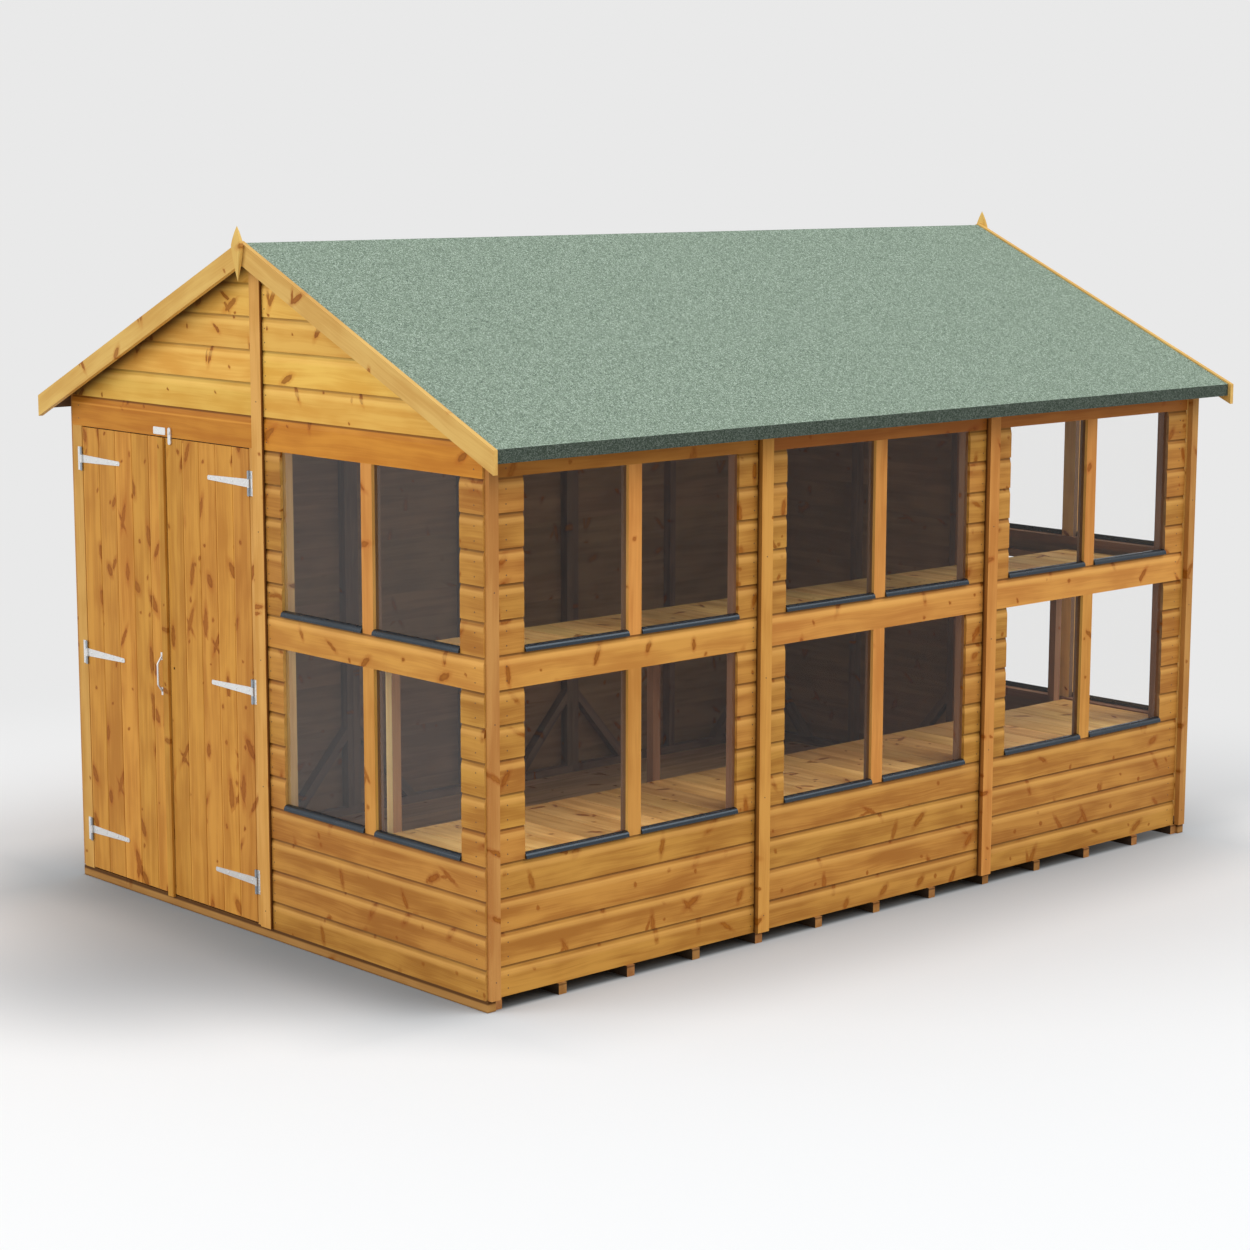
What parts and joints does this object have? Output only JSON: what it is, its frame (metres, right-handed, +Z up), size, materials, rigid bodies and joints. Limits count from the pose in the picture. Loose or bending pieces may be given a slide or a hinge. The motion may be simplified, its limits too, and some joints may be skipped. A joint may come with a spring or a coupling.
{
  "type": "potting shed",
  "caption": "Apex timber potting shed with shiplap walls, a glazed long side, double ledged doors on tee hinges in the gable, felted roof and slatted staging inside.",
  "frame": {"origin": "on the ground under the middle of the shed, the middle of the bounding box's bottom face", "axes": "+Z up, +Y along the ridge from the door gable to the rear gable, +X towards the glazed long side"},
  "size_m": [2.62, 3.812, 2.4592],
  "materials": {
    "cladding_timber": "dip-treated golden brown, satin",
    "pale_timber": "planed pale pine",
    "frame_timber": "sawn",
    "glass": "clear",
    "roofing_felt": "green mineral grit",
    "drip_strip": "slate grey",
    "zinc": "bright zinc plate",
    "white_plate": "bare, no lettering"
  },
  "bodies": {
    "shed": {"button_screw": "zinc", "corner_trims": "cladding_timber", "eave_fillets": "frame_timber", "floor_boards": "frame_timber", "floor_joists": "frame_timber", "front_barge_boards": "pale_timber", "front_door_cladding": "cladding_timber", "front_door_frame": "frame_timber", "front_finial": "pale_timber", "front_window_cladding": "cladding_timber", "front_window_frame": "frame_timber", "front_window_panes": "glass", "gable_battens": "cladding_timber", "hinge_pins": "zinc", "hinge_plates": "zinc", "left_front_cladding": "cladding_timber", "left_front_frame": "frame_timber", "left_middle_cladding": "cladding_timber", "left_middle_frame": "frame_timber", "left_rear_cladding": "cladding_timber", "left_rear_frame": "frame_timber", "rear_barge_boards": "pale_timber", "rear_finial": "pale_timber", "rear_solid_cladding": "cladding_timber", "rear_solid_frame": "frame_timber", "rear_window_cladding": "cladding_timber", "rear_window_frame": "frame_timber", "rear_window_panes": "glass", "right_front_cladding": "cladding_timber", "right_front_frame": "frame_timber", "right_front_panes": "glass", "right_middle_cladding": "cladding_timber", "right_middle_frame": "frame_timber", "right_middle_panes": "glass", "right_rear_cladding": "cladding_timber", "right_rear_frame": "frame_timber", "right_rear_panes": "glass", "roof_boards_left": "frame_timber", "roof_boards_right": "frame_timber", "roof_felt_left": "roofing_felt", "roof_felt_right": "roofing_felt", "roof_purlins": "frame_timber", "roof_trusses": "frame_timber", "side_battens": "cladding_timber", "staging_frame": "frame_timber", "staging_lower_slats": "frame_timber", "staging_upper_slats": "frame_timber", "window_drip_strips": "drip_strip"},
    "door_left": {"left_door_boards": "cladding_timber", "left_door_ledges": "frame_timber", "left_door_hinge_straps": "zinc", "meeting_strip": "cladding_timber", "door_handle": "zinc"},
    "door_right": {"right_door_boards": "cladding_timber", "right_door_ledges": "frame_timber", "right_door_hinge_straps": "zinc", "rim_lock": "zinc"},
    "turn_button": {"turn_button": "zinc"}
  },
  "joints": [
    {"name": "left_leaf_hinge", "type": "hinge", "parent": "shed", "child": "door_left", "pos_m": [-1.1195, -1.8285, 0.864], "axis": [0, 0, -1], "range_deg": [0, 170]},
    {"name": "right_leaf_hinge", "type": "hinge", "parent": "shed", "child": "door_right", "pos_m": [-0.0605, -1.8285, 0.864], "axis": [0, 0, 1], "range_deg": [0, 150]},
    {"name": "button_pivot", "type": "hinge", "parent": "shed", "child": "turn_button", "pos_m": [-0.5395, -1.826, 1.723], "axis": [0, -1, 0], "range_deg": [0, 90]}
  ]
}
